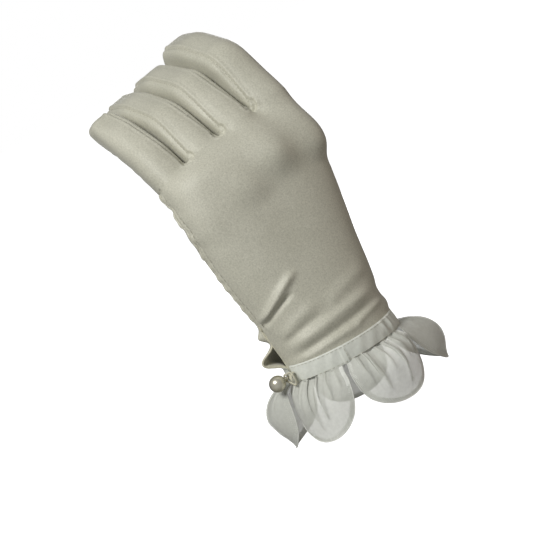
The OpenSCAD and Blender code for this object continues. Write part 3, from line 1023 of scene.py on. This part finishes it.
class Petal:
    """A doubled organza lobe: gathered under the band, sewn round its outline and turned."""

    def __init__(self, number, flare, crease, pleats, turn=0.5, tip=2.1, tuck=0.16,
                 long=1.0, aside=0, seed=0):
        self.name = f"petal_{number}"
        self.middle = 182 + PETAL_PITCH * (number - 0.5) + aside
        self.length = PETAL_L * long
        self.flare, self.crease, self.pleats = flare, crease, pleats
        self.turn, self.tip, self.tuck = turn, tip, tuck
        self.phase = np.random.default_rng(seed).uniform(0, 6.28, 4)

    def half(self, t):
        round_end = np.sqrt(np.clip(1 - np.clip((t - 0.36) / 0.64, 0, 1) ** self.tip, 0, 1))
        return HALF_W * (0.90 + 0.10 * ease(t / 0.3)) * round_end

    def place(self, t, v, layer=0.0, inset=0.0):
        """Points at t down the petal (0 to 1) and v across it (-1 to 1), inset from its outline.

        layer is 0 on the front cloth, 1 on the rear cloth and below 0 in front of both.
        """
        t, v = np.broadcast_arrays(np.asarray(t, float), np.asarray(v, float))
        half = np.maximum(self.half(t) - inset, 0)
        t = t * (1 - inset / self.length)
        side = v * half / HALF_W
        across, gather = 0, 0
        for centre, reach, depth in self.pleats:
            fade = np.clip(1 - t / reach, 0, 1) ** 0.9 * (1 - abs(v) ** 6)
            d = (v - centre - 0.06 * t) * half / 1.05 + 0.5 * layer
            across = across - depth * 1.30 * d * np.exp(-d * d / 1.6) * fade
            gather = gather + depth * fade * (0.95 * np.exp(-d * d / 1.2) - 0.45 * bump(d - 2.4, 1.2))
        wave = 0.5 * np.sin(2.3 * side + 3 * t + self.phase[0])
        wave = (wave + 0.35 * np.sin(5.1 * side - 2 * t + self.phase[1])) * ease(t / 0.3)
        rim_wave = 0.7 * np.sin(4.5 * side + 5 * t + self.phase[2]) * ease(t / 0.4) * abs(side) ** 2
        stand = self.flare + (EDGE_FLARE - self.flare) * abs(side) ** self.crease
        turned = np.sin(np.pi / 2 * np.clip(t / self.turn, 0, 1)) - self.tuck * ease((t - 0.5) / 0.5)
        lap = 2.2 * ease(t / 0.2) * (0.5 + 0.5 * side)
        out = 0.25 + stand * turned + lap + gather + wave + rim_wave
        out = out - layer * 0.7 * np.sqrt(np.clip(1 - v * v, 0, 1)) * np.sqrt(np.clip(1 - t ** 4, 0, 1))
        lateral = v * half + across
        u = self.middle + np.degrees(lateral / (27 + 0.55 * out))
        drop = self.length * (t - 0.10 * (self.flare / 16) * np.sin(np.pi * np.clip(t / 0.7, 0, 1)))
        return wrist(u, 0.6 - BAND_DROP - drop, out)

    def cloth(self):
        """Two layers of cloth that share their outline, as one closed piece."""
        t = 1 - (1 - np.linspace(0, 1, 57)) ** 1.35
        v = np.sin(np.linspace(-1, 1, 145) * np.pi / 2)
        rows = []
        for level in t:
            front = self.place(level, v, 0.0)
            rear = self.place(level, v[::-1][1:-1], 1.0)
            rows.append(np.vstack([front, rear]))
        return grid_piece(self.name + "_organza", rows, closed=True, caps=True)

    def around(self, inset, count):
        """Points between the layers, round the lobe from one top corner to the other."""
        t = 1 - (1 - np.linspace(0.02, 1, count)) ** 1.6
        left, right = self.place(t, -1.0, 0.5, inset), self.place(t[::-1], 1.0, 0.5, inset)
        return np.vstack([left[:-1], right])

    def outline(self):
        """The sewn line round the lobe."""
        return evenly(smoothed(self.around(0.15, 60), 1), 0.7)[0]

    def allowance(self):
        """The turned seam allowance between the layers: a narrow ribbon just inside the outline."""
        return grid_piece(self.name + "_allowance", [self.around(i, 50) for i in np.linspace(0.25, 1.7, 4)])

    def folds(self):
        """Cloth doubled under at each gather: a wedge on the lobe, wide at the band and lost further down."""
        verts, faces = [], []
        down, over = 14, 7
        for centre, reach, depth in self.pleats:
            faces += grid_faces(down, over, first=len(verts))
            t = np.linspace(0.01, 0.92 * reach, down)
            wedge = 0.085 * depth * (1 - t / reach) ** 0.6
            for level, w in zip(t, wedge):
                v = centre + 0.06 * level + w * np.linspace(-0.4, 1.3, over)
                verts += list(self.place(level, v, -0.55))
        return make_object(self.name + "_folds", verts, faces)


# number, flare, crease, (place across, reach down, depth) of each pleat
PETALS = [
    Petal(1, 8, 2.0, [(-0.74, 0.40, 1.1), (-0.42, 0.55, 1.3), (-0.10, 0.85, 1.9), (0.22, 0.70, 1.7),
                      (0.50, 0.45, 1.2), (0.76, 0.35, 1.0)], long=0.95, aside=-5.5, seed=1),
    Petal(2, 8, 2.0, [(-0.72, 0.55, 1.6), (-0.48, 0.75, 1.8), (-0.15, 0.50, 1.2), (0.12, 0.85, 1.9),
                      (0.42, 0.45, 1.2), (0.68, 0.70, 1.7)], long=0.89, aside=-6, seed=2),
    Petal(3, 19.5, 1.2, [(-0.60, 0.45, 1.1), (-0.25, 0.60, 1.2), (0.2, 0.5, 1.1), (0.58, 0.45, 1.1)],
          turn=0.72, tip=1.45, long=0.90, aside=-3, seed=3),
    Petal(4, 11, 1.8, [(-0.66, 0.45, 1.3), (-0.22, 0.75, 1.8), (0.18, 0.50, 1.3), (0.60, 0.60, 1.5)], seed=4),
    Petal(5, 18, 1.7, [(-0.62, 0.50, 1.2), (-0.20, 0.62, 1.3), (0.24, 0.70, 1.3), (0.62, 0.45, 1.1)],
          turn=0.60, tip=2.6, tuck=0.38, long=1.04, seed=5)]
for petal in PETALS:
    cloth = finish_piece(petal.cloth(), PETAL, "hand", "petal_organza", petal.name)
    edge = finish_piece(tubes(petal.name + "_edge", [petal.outline()], 0.26, sides=6),
                        HEM, "hand", "petal_organza")
    hem = finish_piece(petal.allowance(), HEM, "hand", "petal_organza")
    folds = finish_piece(petal.folds(), PETAL, "hand", "petal_organza")


# ---------------------------------------------------------------- pearl button and its loop
pearl_low, pearl_high = (np.array(corner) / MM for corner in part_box("pearl"))
pearl_at, pearl_r = (pearl_low + pearl_high) / 2, (pearl_high[2] - pearl_low[2]) / 2
pivot = joint_point("pearl_tilt")
down = np.linspace(0.02, np.pi - 0.02, 40)[:, None]
round_turn = np.linspace(0, 2 * np.pi, 64, endpoint=False)[None]
ball = np.stack([np.cos(down) + 0 * round_turn, np.sin(down) * np.cos(round_turn),
                 np.sin(down) * np.sin(round_turn)], -1)
rings = pearl_at + pearl_r * ball
finish_piece(grid_piece("pearl_ball", rings, closed=True, caps=True), PEARL, "button", "pearl", "pearl")

LOOP_R, LOOP_L, LOOP_CORD = 1.85, 6.0, 0.45
LOOP_SPREAD = 1.7          # how much wider the loop is at its sewn end


def loop_path(turns=0.0, radius=0.0, start=0.0):
    """Once round the loop; a strand winds round its middle line at a radius."""
    arc = np.pi * LOOP_R
    half_way = arc + LOOP_L
    total = 2 * half_way
    out = []
    for s in np.linspace(0, total, 220):
        second = s >= half_way
        run = s - half_way if second else s
        if run < arc:
            nx, ny = math.cos(run / LOOP_R), math.sin(run / LOOP_R)
            x, y = LOOP_R * nx, LOOP_R * ny
        else:
            x, y, nx, ny = -LOOP_R, arc - run, -1, 0
        if second:
            x, y, nx, ny = -x, -LOOP_L - y, -nx, -ny
        twist = 2 * np.pi * turns * s / total + start
        x *= 1 + (LOOP_SPREAD - 1) * float(ease(-y / LOOP_L))
        x, y = x + radius * math.cos(twist) * nx, y + radius * math.cos(twist) * ny
        out.append((-radius * math.sin(twist), y, x))
    turn = Matrix.Rotation(math.radians(5), 3, "Z") @ Matrix.Rotation(math.radians(3), 3, "X")
    return np.array(out) @ np.array(turn).T + pivot - [2 * LOOP_CORD, 0, 0]


strands = [loop_path(11, 0.22, start) for start in (0, 2 * np.pi / 3, 4 * np.pi / 3)]
finish_piece(tubes("button_loop_cord", strands, 0.27, sides=8), CREAM, "hand", "elastic", "button_loop")

# the sewn end of the loop: threads wound through it into the band
sewn = loop_path().mean(axis=0) + [0, -LOOP_L / 2, 0]
wraps = [[sewn + [1.9 - 2.6 * math.sin(a), 0.5 * k - 1.0 + 0.3 * math.sin(3 * a), 2.5 * math.cos(a)]
          for a in np.linspace(0, np.pi, 14)] for k in range(5)]
finish_piece(tubes("loop_tack_threads", wraps, 0.2, sides=6), CREAM, "hand", "binding", "loop_tack")

# what the CAD has at its true shape keeps it, with a better finish
for node, material in (("button_shank", PEARL), ("shank_thread", CREAM)):
    for slot in frame["nodes"][node].material_slots:
        slot.material = material


# ---------------------------------------------------------------- stage and light
def seen_and_lit(tree, seen, lit):
    """One shader for what the camera sees and another for the light that bounces off."""
    camera_ray = add(tree, "ShaderNodeLightPath").outputs["Is Camera Ray"]
    return add(tree, "ShaderNodeMixShader", camera_ray, lit.outputs[0], seen.outputs[0])


def studio_floor():
    """A wide pale floor under the glove, which runs out into the white of the studio."""
    floor_z, reach = -120, 6000
    turn = np.linspace(0, 2 * np.pi, 48, endpoint=False)
    rows = [[(r * math.cos(a), r * math.sin(a), floor_z) for a in turn] for r in (1, 300, 1500, reach)]
    obj = grid_piece("studio_floor", rows, closed=True)
    mat, tree, shader = node_material("studio_floor", Base_Color=(0.72, 0.72, 0.72, 1), Roughness=0.9,
                                      Specular_IOR_Level=0.0, Emission_Color=(1, 1, 1, 1),
                                      Emission_Strength=1.0)
    dull = add(tree, "ShaderNodeBsdfDiffuse", Color=(0.30, 0.30, 0.29, 1))
    mix = seen_and_lit(tree, shader, dull)
    tree.links.new(mix.outputs[0], tree.nodes["Material Output"].inputs["Surface"])
    obj.data.materials.append(mat)


def studio_world(seen, lit):
    world = bpy.data.worlds.new("studio")
    world.use_nodes = True
    tree = world.node_tree
    shades = [add(tree, "ShaderNodeBackground", Color=(1, 1, 1, 1), Strength=strength)
              for strength in (seen, lit)]
    mix = seen_and_lit(tree, *shades)
    tree.links.new(mix.outputs[0], tree.nodes["World Output"].inputs["Surface"])
    bpy.context.scene.world = world


def area_light(name, toward, distance, size, power, colour=(1, 1, 1)):
    """A soft square light at a distance from the glove in the direction given, in the row frame."""
    light = bpy.data.lights.new(name, "AREA")
    light.energy = power
    light.size = size
    light.color = colour
    obj = bpy.data.objects.new(name, light)
    toward = Vector(toward).normalized()
    obj.location = Vector(AIM) + toward * distance
    obj.rotation_euler = (-toward).to_track_quat("-Z", "Y").to_euler()
    bpy.context.collection.objects.link(obj)


studio_floor()
studio_world(1.0, 0.16)
area_light("key", (-0.58, -0.46, 0.68), 1.25, 0.45, 12.2, (1.0, 1.0, 0.97))
area_light("warm_side", (0.9, -0.25, 0.1), 1.2, 0.6, 1.7, (1.0, 0.80, 0.62))
area_light("rear_fill", (0.40, 0.90, 0.0), 1.3, 0.8, 4.0)
bpy.context.scene.view_settings.view_transform = "Standard"
